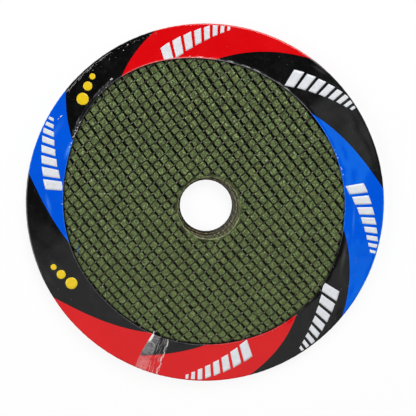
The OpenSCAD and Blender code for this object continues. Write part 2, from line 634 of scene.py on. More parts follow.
def build_threads(name, front, coarse, seed):
    """One family of glass threads, each a flattened closed tube laid along its groove."""
    rng = np.random.default_rng(seed)
    stray = Ripple(seed, 5.0)
    thread = COARSE_THREAD if coarse else FINE_THREAD
    turn = around(THREAD_SIDES)
    skin = Skin()
    for line in range(-thread.count, thread.count + 1):
        for x, y, run in thread_runs(line + 0.02 * rng.normal(), coarse, front):
            tx = np.gradient(x)
            ty = np.gradient(y)
            length = np.hypot(tx, ty)
            # A thread rides over the other family where they cross.
            over = 0.5 + 0.5 * np.cos(FULL_TURN * run)
            z = FRONT_Z - thread.deep + thread.rise * over + 0.02 * stray(x, y)
            swell = 1 + 0.12 * stray(x * 2, y * 2)
            side = np.cos(turn) * thread.wide / 2 * swell[:, None]
            height = np.sin(turn) * thread.thick / 2
            ring_x = x[:, None] - (ty / length)[:, None] * side
            ring_y = y[:, None] + (tx / length)[:, None] * side
            ring_z = side_z(z[:, None] + height, front)
            # Painted light: the grooves are painted lighter toward the bottom of the wheel. Each crossing is
            # painted pale by its own amount, partly worn glass and partly a painted glint where the thread
            # rides over the other family.
            bottom_light = smooth_step(20, -20, y)[:, None]
            plain = thread.dark * (1 - bottom_light) + thread.bottom_lit * bottom_light
            wear_and_sheen = 0.5 * rng.uniform(0.0, 1.0, 64)[np.round(run).astype(int) + 32] ** 1.8
            pale = (smooth_step(0.8, 0.99, over) * wear_and_sheen)[:, None]
            tint = plain * (1 - pale) + thread.worn_and_sheen * pale
            skin.add(np.stack([ring_x, ring_y, ring_z], -1), tint[:, None], flip=front)
    return skin.make(name, thread.material)


# The bonded core with the bare ring and the bore

CORE_SEGMENTS = 288
BORE_RINGS = 15
BARE_RINGS = 40
BACK_FLOOR_Z = BACK_Z + 0.6
FRONT_FLOOR_Z = FRONT_Z - 0.6
BORE_TOP_Z = FRONT_Z - 0.55
FLOOR = tone(3, 3, 2)
SOOT = tone(12, 10, 7)
BROWN = tone(46, 40, 30)
GREY = tone(76, 73, 66)
OLIVE = tone(122, 114, 74)
MOSS = tone(84, 88, 64)
GREEN = tone(128, 138, 90)
SMEAR = tone(82, 93, 53)
# Thin pale layers in the dark resin of the bare ring, by distance from the bore: below it and beside it. The
# layers are the resin's own; the SOOT band right next to the bore is painted shade where the ring dips into
# the bore.
LAYERS_BELOW = (
    (0.0, SOOT), (0.4, SOOT), (0.48, OLIVE), (0.56, OLIVE), (0.64, SOOT), (0.95, SOOT), (1.05, BROWN),
    (1.2, OLIVE), (1.3, GREY), (1.65, MOSS), (1.75, SOOT), (1.85, MOSS), (2.4, MOSS),
)
LAYERS_BESIDE = (
    (0.0, BROWN), (0.15, GREY), (0.55, GREY), (0.62, BROWN), (0.72, GREY), (1.1, GREY), (1.22, OLIVE),
    (1.34, OLIVE), (1.42, SOOT), (1.52, SOOT), (1.62, GREY), (1.75, MOSS), (2.4, MOSS),
)
STREAK = Ripple(11, 1.0)
GRIT = Ripple(12, 0.6, 14)
LAYER = Ripple(13, 3.0)


def bore_burr(s):
    """How far a burr of resin narrows the mouth of the bore toward the top, where the turn's sine is s."""
    return 0.16 * smooth_step(0.2, 0.9, s)


def lip_r(c, s):
    """Distance from the bore's axis to the shifted hole of the mesh, along the cosine c and sine s."""
    reach = RING_X * c + RING_Y * s
    return reach + np.sqrt(np.maximum(RING_R**2 - (RING_X * s - RING_Y * c) ** 2, 0))


def layer_tones(layers, place):
    """Colours at distances from the bore, blended from one layer to the next."""
    places = [at for at, _ in layers]
    return np.stack([np.interp(place, places, [t[k] for _, t in layers]) for k in range(3)], -1)


def core_back(turn, c, s):
    """Rings of the back: the shoulder under the film, the groove floors and the edge of the bore."""
    yield RIM_R - RIM_BREAK, BACK_Z, FLOOR
    yield SHOULDER_R, BACK_Z, FLOOR
    yield SHOULDER_R - 0.5, BACK_FLOOR_Z, FLOOR
    for r in np.linspace(38, 10, 8):
        yield r, BACK_FLOOR_Z + 0.02 * GRIT(r * c, r * s), FLOOR
    yield 8.75, BACK_FLOOR_Z, shade(BROWN, 1 + 0.3 * STREAK(30 * c, 30 * s))
    yield BORE_R + 0.25, BACK_Z + 0.05, shade(GREY, 1 + 0.3 * STREAK(20 * c, 20 * s))


def core_bore(turn, c, s):
    """Rings up the wall of the bore from the back, in thin layers."""
    burr = bore_burr(s)
    for z in np.linspace(BACK_Z + 0.25, BORE_TOP_Z, BORE_RINGS):
        r = BORE_R - burr * smooth_step(BORE_TOP_Z - 0.5, BORE_TOP_Z, z)
        r = r + 0.05 * STREAK(12 * turn, 7.0 * z) + 0.03 * GRIT(9 * turn, 11 * z)
        mixed = 0.25 + 0.25 * np.sin(9.0 * z + 0.8 * LAYER(10 * c, 10 * s + 3 * z))
        pale = mixed * (0.9 + 0.25 * STREAK(14 * turn, 5 * z))
        yield r, z, shade(SOOT, 1 - mixed) + shade(GREY, pale)


def core_bare_ring(turn, c, s):
    """Rings of bare resin, from the mouth of the bore out to the lip of the mesh."""
    mouth_r = BORE_R - bore_burr(s)
    width = lip_r(c, s) - mouth_r
    rightward = smooth_step(-0.1, 0.8, c)[:, None]
    for q in np.arange(1, BARE_RINGS + 1) / BARE_RINGS:
        r = mouth_r + width * q
        x = r * c
        y = r * s
        wave = 0.07 * np.sin(30 * q + 1.8 * LAYER(x, y)) * smooth_step(0.25, 1.2, width)
        z = BORE_TOP_Z + 0.34 * q**1.3 + wave * (1 - q * 0.5) + 0.02 * GRIT(x, y)
        # The layers wander, so each one fades and comes back along the ring.
        wander = width * q + 0.1 * LAYER(0.6 * x + 20, 0.6 * y) + 0.06 * STREAK(1.3 * x, 1.3 * y)
        # Painted shade: the band next to the bore is painted darkest, as if in shade.
        below = layer_tones(LAYERS_BELOW, wander)
        beside = layer_tones(LAYERS_BESIDE, wander)
        patchy = 1 + 0.45 * STREAK(0.9 * x, 0.9 * y) + 0.6 * GRIT(1.2 * x, 1.2 * y)
        yield r, z, shade(below * (1 - rightward) + beside * rightward, np.clip(patchy, 0.15, 2.2))


def core_front(turn, c, s):
    """Rings of the front: grit smeared beside the lip, most on its right, then groove floors and rim."""
    edge_r = lip_r(c, s)
    fill = 0.62 + 0.38 * smooth_step(0.1, 0.9, np.cos(turn + 0.1))
    fill_z = FRONT_FLOOR_Z + fill * (FRONT_Z - 0.17 - FRONT_FLOOR_Z)
    yield edge_r + 0.06, FRONT_Z - 0.15, shade(GREEN, 0.55 + 0.4 * STREAK(5 * c, 5 * s))
    yield edge_r + 0.25, fill_z, shade(SMEAR, fill * (0.85 + 0.35 * STREAK(6 * c, 6 * s)))
    yield edge_r + 0.8, fill_z - 0.02, shade(SMEAR, fill * (0.62 + 0.45 * STREAK(27 * c, 27 * s)))
    yield edge_r + 1.2, FRONT_FLOOR_Z, FLOOR
    for r in np.linspace(13, 43, 9):
        yield r, FRONT_FLOOR_Z + 0.02 * GRIT(r * c, r * s), FLOOR
    yield SHOULDER_R - 0.5, FRONT_FLOOR_Z, FLOOR
    yield SHOULDER_R, FRONT_Z - 0.02, FLOOR
    yield RIM_R - RIM_BREAK, FRONT_Z - 0.02, FLOOR
    yield RIM_R, FRONT_Z - RIM_BREAK, FLOOR
    yield RIM_R, BACK_Z + RIM_BREAK, FLOOR


def build_core():
    """Groove floors, rim, bore wall and the streaky bare ring, as one closed loop of uneven rings."""
    turn = around(CORE_SEGMENTS)
    c = np.cos(turn)
    s = np.sin(turn)
    rings = []
    tint = []
    for part in (core_back, core_bore, core_bare_ring, core_front):
        for r, z, colour in part(turn, c, s):
            rings.append(np.stack(np.broadcast_arrays(r * c, r * s, z), -1))
            tint.append(np.broadcast_to(colour, (CORE_SEGMENTS, 3)))
    skin = Skin()
    skin.add(np.array(rings), np.clip(tint, 0, 1), flip=True, loop=True)
    return skin.make("wheel_core", CORE)


LIP_STRANDS = 190
LIP_STEPS = 9
LIP_SIDES = 5
LIP_PALE = tone(186, 194, 144)
LIP_DULL = tone(96, 98, 66)


def build_lip():
    """Frayed strands of cut mesh and resin flash round the bare ring."""
    rng = np.random.default_rng(21)
    f = np.linspace(0, 1, LIP_STEPS)
    turn = around(LIP_SIDES)
    skin = Skin()
    for _ in range(LIP_STRANDS):
        middle = rng.uniform(0, FULL_TURN)
        # More strands toward the lower right, where the ring is widest, and painted paler there: a painted
        # highlight on the lip.
        toward = 0.5 + 0.5 * math.cos(middle + 1.2)
        if rng.uniform() > 0.35 + 0.65 * toward:
            continue
        sweep = rng.uniform(0.05, 0.28)
        r = RING_R + rng.normal(0.02, 0.09)
        drift = rng.normal(0, 0.12)
        fat = rng.uniform(0.035, 0.075)
        lift = rng.uniform(-0.14, -0.03)
        colour = LIP_DULL + (LIP_PALE - LIP_DULL) * rng.uniform(0.2, 1.0) * (0.35 + 0.65 * toward)
        t = (middle + (f - 0.5) * sweep)[:, None]
        thin = (fat * (0.35 + 0.65 * np.sin(math.pi * f)))[:, None]
        out = (r + drift * (f - 0.5))[:, None] + thin * np.cos(turn)
        z = (FRONT_Z + lift + 0.03 * np.sin(7 * f + middle))[:, None] - thin + thin * np.sin(turn)
        z = np.minimum(z, FRONT_Z + 0.05)
        rings = np.stack([RING_X + out * np.cos(t), RING_Y + out * np.sin(t), z], -1)
        skin.add(rings, colour, flip=True)
    return skin.make("bore_lip", LIP)


# The printed film

FILM_TOP = 3.36
FILM_LOW = 0.06
FILM_SIDE_R = 53.74
FILM_BEND = 0.55
FILM_THICK = 0.07
# The film stays under this height, so that seam and marks fit above it.
TOP_LIMIT = 3.53
BEND_START_R = FILM_SIDE_R - FILM_BEND
BEND_ARC = FILM_BEND * QUARTER_TURN
SIDE_DROP = FILM_TOP - FILM_LOW - 2 * FILM_BEND
FRONT_ROWS = 26
BEND_ROWS = 5
SIDE_ROWS = 3
BACK_ROWS = 16
RIM_ROWS = 2 * BEND_ROWS + SIDE_ROWS
ROWS = FRONT_ROWS + 1 + RIM_ROWS + BACK_ROWS
COLUMN_DEG = 0.6
# The film's uneven opening on the front: its middle is shifted, it is oval, and its edge ripples.
# Each wave gives how many crests go round, their height in mm and the direction of one of them.
OPENING_R = 42.63
OPENING_SHIFT = (1, 1.04, 132)
OPENING_OVAL = (2, 1.13, -54)
OPENING_RIPPLES = ((3, 0.3, -6), (4, 0.25, 40), (5, 0.16, -26), (6, 0.14, 12))
# Shallow bays in that edge: direction and half width in degrees, and depth in mm.
OPENING_BAYS = ((-75, 30, 0.44), (15, 22, 0.24))


def opening_r(deg):
    """Radius of the film's uneven opening on the front, in each direction."""
    deg = np.asarray(deg, float)
    r = np.full_like(deg, OPENING_R)
    for count, height, crest in (OPENING_SHIFT, OPENING_OVAL, *OPENING_RIPPLES):
        r = r + height * np.cos(np.radians(count * (deg - crest)))
    for middle, half, depth in OPENING_BAYS:
        r = r + depth * bell(wrapped(deg - middle), half)
    return r


def back_opening_r(deg):
    """Radius of the film's opening on the back, in each direction."""
    t = np.radians(np.asarray(deg, float))
    return 42.7 + 0.5 * np.cos(t - 1.0) + 0.6 * np.cos(2 * t + 0.4) + 0.12 * np.sin(t * 6.0)


# Edges of the colour fields going clockwise: radius and direction in degrees at three places on each.
EDGES = (
    ((45.5, 123.1), (50.9, 112.2), (53.7, 105.9)),
    ((43.6, 85.1), (48.0, 71.4), (53.4, 54.6)),
    ((41.9, 40.4), (48.9, 16.2), (53.4, 5.7)),
    ((42.3, -10.4), (49.3, -28.3), (53.4, -39.0)),
    ((43.0, -50.2), (49.2, -64.3), (52.9, -74.0)),
    ((42.4, -90.2), (47.1, -106.3), (49.7, -113.6)),
    ((41.9, -112.5), (47.8, -113.6), (53.5, -113.8)),
    ((41.9, -113.1), (48.5, -137.4), (53.4, -148.7)),
    ((42.3, -164.8), (49.5, -183.5), (53.5, -190.6)),
    ((44.2, -206.5), (48.2, -212.0), (53.3, -219.3)),
)
# Ink of the field after each edge, by its place among the film's materials.
INKS = {"red": 0, "black": 1, "blue": 2}
FIELDS = ("red", "black", "blue", "black", "red", "black", "red", "black", "blue", "black")
# The edge along the seam, and the edge before it that runs into the seam as a wedge.
SEAM_EDGE = 6
WEDGE_EDGE = 5
# The overlap of the film's ends: its two sides, given as the edges are, and its middle.
SEAM_LEFT = ((42.1, -112.6), (48.0, -113.7), (53.5, -113.8))
SEAM_RIGHT = ((42.1, -105.1), (48.0, -105.5), (53.5, -105.9))
SEAM_TURN = -109.0


def edge_angle(points, reach):
    """Direction of a field's edge where the film, laid out flat past the rim, is reach from the axis."""
    (r0, d0), (r1, d1), (r2, d2) = points
    first = (d1 - d0) / (r1 - r0)
    second = (d2 - d1) / (r2 - r1)
    bow = (second - first) / (r2 - r0)
    inside = d0 + first * (reach - r0) + bow * (reach - r0) * (reach - r1)
    return np.where(reach <= r2, inside, d2 + second * 0.9 * (reach - r2))


def rim_row(row):
    """Radius, height, outward lean and laid-out reach of one row where the film goes round the rim."""
    if row <= BEND_ROWS:
        t = row / BEND_ROWS * QUARTER_TURN
        r = BEND_START_R + FILM_BEND * math.sin(t)
        z = FILM_TOP - FILM_BEND * (1 - math.cos(t))
        return r, z, t, BEND_START_R + FILM_BEND * t
    row -= BEND_ROWS
    if row <= SIDE_ROWS:
        down = SIDE_DROP * (row / SIDE_ROWS)
        z = FILM_TOP - FILM_BEND - down
        return FILM_SIDE_R, z, QUARTER_TURN, BEND_START_R + BEND_ARC + down
    row -= SIDE_ROWS
    t = row / BEND_ROWS * QUARTER_TURN
    r = BEND_START_R + FILM_BEND * math.cos(t)
    z = FILM_LOW + FILM_BEND * (1 - math.sin(t))
    return r, z, QUARTER_TURN + t, BEND_START_R + BEND_ARC + SIDE_DROP + FILM_BEND * t


def film_row(row, deg):
    """Radius, height, outward lean and laid-out reach of one row of the film, in the directions deg."""
    deg = np.asarray(deg, float)
    if row <= FRONT_ROWS:
        # Rows crowd toward the cut edge.
        q = (row / FRONT_ROWS) ** 1.8
        r_in = opening_r(deg)
        r = r_in + (BEND_START_R - r_in) * q
        return r, np.full_like(r, FILM_TOP), 0.0, r
    row -= FRONT_ROWS
    if row <= RIM_ROWS:
        r, z, lean, reach = rim_row(row)
        return np.full_like(deg, r), np.full_like(deg, z), lean, np.full_like(deg, reach)
    q = (row - RIM_ROWS) / BACK_ROWS
    r = BEND_START_R + (back_opening_r(deg) - BEND_START_R) * q
    reach = BEND_START_R + 2 * BEND_ARC + SIDE_DROP + (BEND_START_R - r)
    return r, np.full_like(r, FILM_LOW), math.pi, reach


SAG = Ripple(31, 17.0)
WAVE = Ripple(32, 7.5)
PUCKER = Ripple(33, 2.2)
NICK = Ripple(34, 0.9)
# Stretch of the cut edge that folded over on itself, in degrees, and the fold's distance from the edge in mm.
FOLD_FROM = 126
FOLD_TO = 153
FOLD_IN = 0.95
# Direction in which the cut edge is crumpled most.
CRUMPLE_TURN = 122


def folded(deg):
    """1 along the folded stretch of the cut edge and 0 elsewhere."""
    turned = np.asarray(deg, float) % 360.0
    ends = smooth_step(FOLD_FROM, FOLD_FROM + 2, turned) * smooth_step(FOLD_TO, FOLD_TO - 4, turned)
    # The fold is pressed flat again along its middle.
    return ends * (1.0 - 0.85 * smooth_step(133, 137, turned) * smooth_step(147, 143, turned))


def lap_height(x, y):
    """Height of the film's top on the front: its waves, its rolled edge, its fold and puckers by the seam."""
    r = np.hypot(x, y)
    deg = np.degrees(np.arctan2(y, x))
    r_in = opening_r(deg)
    inside = r - r_in
    flat = smooth_step(1.0, 0.75, inside / (BEND_START_R - r_in))
    z = FILM_TOP - 0.02 + flat * (0.05 * SAG(x, y) + 0.025 * WAVE(x, y))
    roll = 0.07 * bell(inside, 1.3) + 0.06 * bell(inside, 0.4)
    z = z + roll * (1.0 + 0.25 * WAVE(2 * x, 2 * y))
    crumple = smooth_step(0.2, 0.9, np.cos(np.radians(deg - CRUMPLE_TURN)))
    z = z + 0.03 * crumple * bell(inside, 0.9) * PUCKER(x, y)
    z = z + 0.05 * folded(deg) * bell(inside - FOLD_IN, 0.2)
    z = z + 0.012 * bell(deg - SEAM_TURN, 7.0) * PUCKER(2 * x, 2 * y)
    return np.minimum(z, TOP_LIMIT)


def outward(t, lean):
    """The film's outward direction at the turns t, where it leans by lean from straight up."""
    return np.stack([
        math.sin(lean) * np.cos(t),
        math.sin(lean) * np.sin(t),
        np.full_like(t, math.cos(lean)),
    ], -1)


def film_points(row, deg, lift=0.0):
    """A row of points on the film's outer surface, raised by lift."""
    r, z, lean, _ = film_row(row, deg)
    t = np.radians(deg)
    x = r * np.cos(t)
    y = r * np.sin(t)
    if lean == 0.0:
        z = lap_height(x, y)
    elif lean > 3.0:
        z = z + 0.025 * (0.5 + 0.5 * WAVE(x, y))
    else:
        # Shrinking left small dents where the film turns over the rim.
        dent = 0.06 * math.sin(lean) * (0.5 + 0.5 * PUCKER(1.4 * x, 1.4 * y))
        x = x - dent * np.cos(t)
        y = y - dent * np.sin(t)
    return np.stack([x, y, z], -1) + lift * outward(t, lean)


# How pale the film's cut edge is, by direction in degrees: partly worn and partly a painted highlight on the
# rolled edge, strongest toward the top.
EDGE_WEAR_AND_SHEEN = (
    (-180, 0.4), (-165, 0.35), (-150, 0.2), (-113, 0.25), (-75, 0.2), (-45, 0.04), (-20, 0.06),
    (-8, 0.4), (5, 0.5), (30, 0.62), (50, 0.52), (75, 0.6), (95, 0.85), (110, 0.7),
    (125, 0.35), (130, 0.2), (145, 0.2), (150, 0.5), (158, 0.55), (168, 0.3), (180, 0.4),
)
# Soft painted reflections of the film's gentle folds, as streaks: place in x and y, length, width, turn in
# degrees and strength.
SHEEN_STREAKS = (
    (-46.9, 0.6, 4.4, 0.9, -78, 0.35),
    (-40.8, 16.6, 3.6, 0.9, 68, 0.6),
    (-44.5, 22.0, 6.0, 1.0, 55, 0.2),
    (41.8, -14.5, 9.0, 1.0, -100, 0.08),
    (44.5, -4.5, 7.0, 0.5, -93, 0.3),
    (-45.5, -18.2, 4.0, 1.3, -70, 0.05),
    (-47.4, -21.6, 3.4, 1.0, -64, 0.04),
    (34.0, 40.2, 3.4, 0.9, -38, 0.08),
    (38.9, 34.5, 3.0, 0.7, -62, 0.06),
    (41.4, 31.4, 4.0, 1.0, -50, 0.07),
)


def streak_sheen(x, y):
    """How strongly the soft streaks of painted reflection lighten the ink."""
    total = np.zeros_like(x)
    for at_x, at_y, length, width, turn, strength in SHEEN_STREAKS:
        c = math.cos(math.radians(turn))
        s = math.sin(math.radians(turn))
        along = (x - at_x) * c + (y - at_y) * s
        across = (y - at_y) * c - (x - at_x) * s
        total = total + strength * bell(along, length / 2) * bell(across, width / 2)
    return total


def film_wear_and_sheen(row, deg):
    """How far the ink is turned pale, from 0 to 1: at the cut edge, partly worn and partly a painted
    highlight; a painted highlight along its fold's ridge and a faint paleness inside the fold; and painted
    reflections in streaks.
    """
    r, _, lean, _ = film_row(row, deg)
    if lean > 0.0:
        return np.zeros_like(r)
    t = np.radians(deg)
    x = r * np.cos(t)
    y = r * np.sin(t)
    wear_and_sheen = np.interp(wrapped(deg), [d for d, _ in EDGE_WEAR_AND_SHEEN], [w for _, w in EDGE_WEAR_AND_SHEEN])
    inside = r - opening_r(deg)
    broad = 0.16 + 0.2 * smooth_step(0.55, 1.0, wear_and_sheen) * (0.5 + 0.5 * PUCKER(x, y))
    # At the cut edge the paleness is partly wear and partly a painted highlight on the rolled edge.
    edge = wear_and_sheen * bell(inside, broad) * (0.75 + 0.35 * NICK(x, y))
    # Painted highlight along the fold's ridge.
    ridge = 0.4 * folded(deg) * bell(inside - FOLD_IN, 0.16) * smooth_step(-0.4, 0.8, NICK(x, y))
    turned_in = 0.045 * folded(deg) * smooth_step(FOLD_IN, FOLD_IN - 0.15, inside)
    return np.clip(edge + ridge + turned_in + streak_sheen(x, y), 0, 1)


def field_angles(row):
    """Directions of every field's edge on one row, kept in order."""
    found = np.array([edge[0][1] for edge in EDGES])
    # The opening's radius changes along an edge, so its direction is settled in a few rounds.
    for _ in range(5):
        reach = film_row(row, found)[3]
        found = np.array([float(edge_angle(edge, r)) for edge, r in zip(EDGES, reach)])
    found[WEDGE_EDGE] = max(found[WEDGE_EDGE], found[SEAM_EDGE])
    found[WEDGE_EDGE - 1] = max(found[WEDGE_EDGE - 1], found[WEDGE_EDGE] + 0.8)
    found[SEAM_EDGE + 1] = min(found[SEAM_EDGE + 1], found[SEAM_EDGE])
    return np.append(found, found[0] - 360.0)


def build_film():
    """One strip of film over front, rim and back, its mesh lines following the edges of the colour fields."""
    angles = np.array([field_angles(row) for row in range(ROWS)])
    verts = []
    faces = []
    slots = []
    wear_and_sheen = []
    for field, ink in enumerate(FIELDS):
        start = angles[:, field]
        end = angles[:, field + 1]
        columns = max(4, int(math.ceil(np.max(start - end) / COLUMN_DEG)))
        field_faces = grid_faces(len(verts), ROWS, columns + 1)
        faces.extend(field_faces)
        slots.extend([INKS[ink]] * len(field_faces))
        for row in range(ROWS):
            deg = start[row] + (end[row] - start[row]) * np.linspace(0, 1, columns + 1)
            verts.extend(film_points(row, deg))
            wear_and_sheen.extend(film_wear_and_sheen(row, deg))
    tint = np.repeat(np.asarray(wear_and_sheen)[:, None], 3, 1)
    obj = make_piece("printed_film", verts, faces, [RED, BLACK, BLUE], slots=slots, tint=tint)
    clean_mesh(obj, 0.002)
    thicken(obj, FILM_THICK)
    return obj


# The lap seam

SEAM_COLUMNS = 56
SEAM_LIFT = 0.03
SEAM_THICK = 0.03
SEAM_RED = tone(212, 16, 24)
SEAM_BLACK = tone(14, 14, 15)
SEAM_WHITE = tone(242, 238, 238)
SEAM_STREAK = Ripple(41, 0.8, 14)
SEAM_BLOT = Ripple(42, 2.2)
SEAM_WRINKLE = Ripple(43, 0.8, 14)
SEAM_MOTTLE = Ripple(44, 0.7)
# A blister of trapped air in the clear margin: place across and along, and its half sizes.
BLISTER_U = 0.2
BLISTER_REACH = 46.5
BLISTER_WIDE = 0.25
BLISTER_LONG = 1.9


def blister_haze(u, reach):
    """How white the blister looks: faint inside, with a painted highlight on its rim that is brightest at its
    inner end.
    """
    along = (reach - BLISTER_REACH) / BLISTER_LONG
    away = np.hypot((u - BLISTER_U) / BLISTER_WIDE, along)
    whole = 0.04 * smooth_step(1.0, 0.8, away) + 0.13 * bell(away - 1.0, 0.07)
    # Painted highlight on the blister's rim, brightest at its inner end.
    cap = 0.2 * bell(away - 1.0, 0.1) * smooth_step(-0.2, -0.9, along)
    return whole, cap


def seam_haze(u, reach, inner):
    """How white the clear overlap looks, across it from left to right at one reach."""
    blister, cap = blister_haze(u, reach)
    cloud = 0.13 + 0.05 * SEAM_BLOT(u * 5, reach * 0.6) + 0.025 * SEAM_MOTTLE(u * 6, reach)
    margin = smooth_step(0.47, 0.43, u) * (cloud + blister)
    torn = 0.3 * bell(u - 0.46, 0.02) * smooth_step(0.0, 0.8, SEAM_MOTTLE(u * 2, reach * 1.5))
    streaks = smooth_step(0.4, 0.9, SEAM_STREAK(u * 15.0, reach * 0.2))
    lines = smooth_step(0.44, 0.52, u) * streaks * 0.2
    crack_at = 0.93 + 0.03 * np.sin(1.9 * reach) + 0.015 * np.sin(5.3 * reach)
    crack_w = 0.013 + 0.012 * (0.5 + 0.5 * np.sin(1.3 * reach + 2.0))
    crack = bell(u - crack_at, crack_w) * (0.7 + 0.35 * SEAM_MOTTLE(u * 3, reach * 2.2))
    flap = smooth_step(0.14, 0.10, u) * smooth_step(2.7, 2.1, reach - inner)
    return np.clip(0.01 + margin + torn + lines + crack + flap + cap, 0, 0.95)


def build_seam():
    """The clear overlap of the film's ends: a cloudy margin, wrinkles and a cracked edge."""
    rows = [*np.linspace(0, FRONT_ROWS, 3 * FRONT_ROWS + 1), *range(FRONT_ROWS + 1, ROWS)]
    u = np.linspace(0, 1, SEAM_COLUMNS + 1)
    level = smooth_step(0.0, 0.1, u) * smooth_step(1.0, 0.9, u)
    inner = float(opening_r(SEAM_TURN))
    verts = []
    tint = []
    for row in rows:
        reach_mid = film_row(row, np.full(1, SEAM_TURN))[3][0]
        left = float(edge_angle(SEAM_LEFT, reach_mid))
        right = float(edge_angle(SEAM_RIGHT, reach_mid))
        deg = left + (right - left) * u
        _, _, lean, reach = film_row(row, deg)
        wrinkle = 0.02 * level * SEAM_WRINKLE(u * 9.0, np.full_like(u, reach_mid * 0.25))
        raised = wrinkle[:, None] * outward(np.radians(deg), lean)
        verts.extend(film_points(row, deg, SEAM_LIFT) + raised)
        wedge = edge_angle(EDGES[WEDGE_EDGE], reach)
        under = np.where((deg < wedge)[:, None], SEAM_BLACK, SEAM_RED)
        haze = seam_haze(u, reach, inner)[:, None]
        tint.extend(under * (1 - haze) + SEAM_WHITE * haze)
    faces = grid_faces(0, len(rows), SEAM_COLUMNS + 1, flip=True)
    obj = make_piece("film_seam", verts, faces, [SEAM], tint=tint)
    thicken(obj, SEAM_THICK)
    return obj


# Printed marks of no meaning: a row of slanting strokes or of dots in each colour field

# Direction and radius where each row begins.
STROKE_ROWS = ((106, 45.6), (57, 45.3), (8, 45.0), (-33, 45.4), (-73, 45.4), (-186, 45.2))
DOT_ROWS = ((-148, 46.0), (-219, 47.5))
# The colour fields drift outward going clockwise, and the rows run with them.
ROW_SLANT = math.radians(21.0)
STROKES = 8
STROKE_LEAN = 0.35
DOTS = 3
MARK_GAP = 0.9
MARK_LIFT = 0.012
MARK_THICK = 0.01


def row_point(row, along, across):
    """A place on a row of marks: along is measured from its start, across from its middle line."""
    deg, radius = row
    r = radius + along * math.sin(ROW_SLANT)
    turn = math.radians(deg) - np.log(r / radius) / math.tan(ROW_SLANT)
    turn = turn + across * math.sin(ROW_SLANT) / r
    r = r + across * math.cos(ROW_SLANT)
    # The print is cut off at the film's edge and runs out at the rim.
    r = np.clip(r, opening_r(np.degrees(turn)) + 0.25, BEND_START_R)
    return r * np.cos(turn), r * np.sin(turn)


def stroke_shapes(row):
    """Grids of places for the strokes of one row, each narrower and lower than the last."""
    start = 0.0
    for k in range(STROKES):
        wide = 3.0 - 0.3 * k
        tall = 5.2 - 0.4 * k
        across, along = np.meshgrid(np.linspace(-tall / 2, tall / 2, 9), np.linspace(0, wide, 6))
        yield row_point(row, start + along + STROKE_LEAN * across, across)
        start += wide + MARK_GAP


def dot_shapes(row):
    """Grids of places for the dots of one row, as rings from the middle out."""
    start = 0.0
    for k in range(DOTS):
        size = 1.8 - 0.45 * k
        turn, out = np.meshgrid(np.linspace(0, FULL_TURN, 25), np.linspace(0, 1, 5) * size)
        start += size
        yield row_point(row, start + out * np.cos(turn), out * np.sin(turn))
        start += size + MARK_GAP


def build_marks(name, rows, shapes, ink):
    """Rows of printed shapes laid on the film's waves."""
    verts = []
    faces = []
    for row in rows:
        for x, y in shapes(row):
            faces.extend(grid_faces(len(verts), *x.shape))
            verts.extend(np.stack([x, y, lap_height(x, y) + MARK_LIFT], -1).reshape(-1, 3))
    obj = make_piece(name, verts, faces, [ink])
    clean_mesh(obj, 0.001)
    face_up(obj)
    thicken(obj, MARK_THICK)
    return obj


# Wear and painted highlights: flecks, scratches and a loose shred

# Flecks on the film, nicks and scratches and painted highlights on small wrinkles: radius, direction, length,
# width, turn in degrees and grey level.
FLECKS = (
    (52.7, 115.9, 0.42, 0.38, 0, 215),
    (51.8, 117.9, 0.38, 0.34, 0, 205),
    (51.6, 123.4, 0.9, 0.15, 60, 90),
    (52.0, 129.8, 0.6, 0.2, 20, 110),
    (46.6, 126.7, 1.0, 0.36, 30, 225),
    (50.3, 148.2, 1.1, 0.28, 45, 235),
    (50.6, 149.4, 0.7, 0.2, 45, 190),
    (44.0, 154.9, 0.6, 0.3, 60, 225),
    (44.3, 151.0, 0.8, 0.3, 60, 215),
    (44.2, 149.7, 0.5, 0.25, 40, 215),
    (42.8, 179.2, 0.36, 0.3, 0, 225),
    (51.0, -43.8, 0.42, 0.4, 0, 225),
    (41.7, -112.4, 1.3, 0.26, 65, 235),
    (48.5, -20.7, 1.5, 0.16, 62, 92),
    (48.2, -19.6, 0.8, 0.14, 118, 84),
)
# Runs of small pale flecks along the cut edge, painted highlights where it is crumpled: from and to in
# degrees, how many and grey level.
EDGE_FLECKS = (
    (12, 27, 8, 215),
    (84, 104, 9, 205),
    (127, 135, 4, 190),
    (146, 158, 9, 220),
    (-70, -20, 8, 130),
)
# Runs of thin painted highlights along the rim, where the film bends over it: from and to in degrees, how
# many, radius, longest and grey level.
RIM_GLINTS = (
    (104, 119, 22, 52.7, 0.8, 120),
    (119, 131, 10, 52.6, 0.6, 80),
    (122, 140, 30, 53.0, 2.4, 150),
    (-60, -40, 10, 52.6, 0.8, 70),
)
DUST = 46
FLECK_SIDES = 9
FLECK_LIFT = 1.5 * MARK_LIFT
FLECK_THICK = 0.012


def scattered_flecks(rng):
    """Painted highlights along the cut edge and the rim, and dust, given as FLECKS are."""
    for first, last, count, grey in EDGE_FLECKS:
        for deg in rng.uniform(first, last, count):
            r = float(opening_r(deg)) + rng.uniform(0.08, 0.5)
            turn = deg + 90 + rng.normal(0, 25)
            length = rng.uniform(0.25, 0.6)
            yield r, deg, length, rng.uniform(0.14, 0.26), turn, grey
    for first, last, count, radius, longest, grey in RIM_GLINTS:
        for deg in rng.uniform(first, last, count):
            r = min(rng.normal(radius, 0.2), BEND_START_R - 0.1)
            length = rng.uniform(0.3, 1.0) * longest
            turn = deg + 90 + rng.normal(0, 4)
            yield r, deg, length, rng.uniform(0.08, 0.15), turn, grey
    for _ in range(DUST):
        size = rng.uniform(0.1, 0.24)
        r = rng.uniform(46.5, 52.8)
        deg = rng.uniform(-180, 180)
        yield r, deg, size, size, 0, rng.uniform(50, 150)


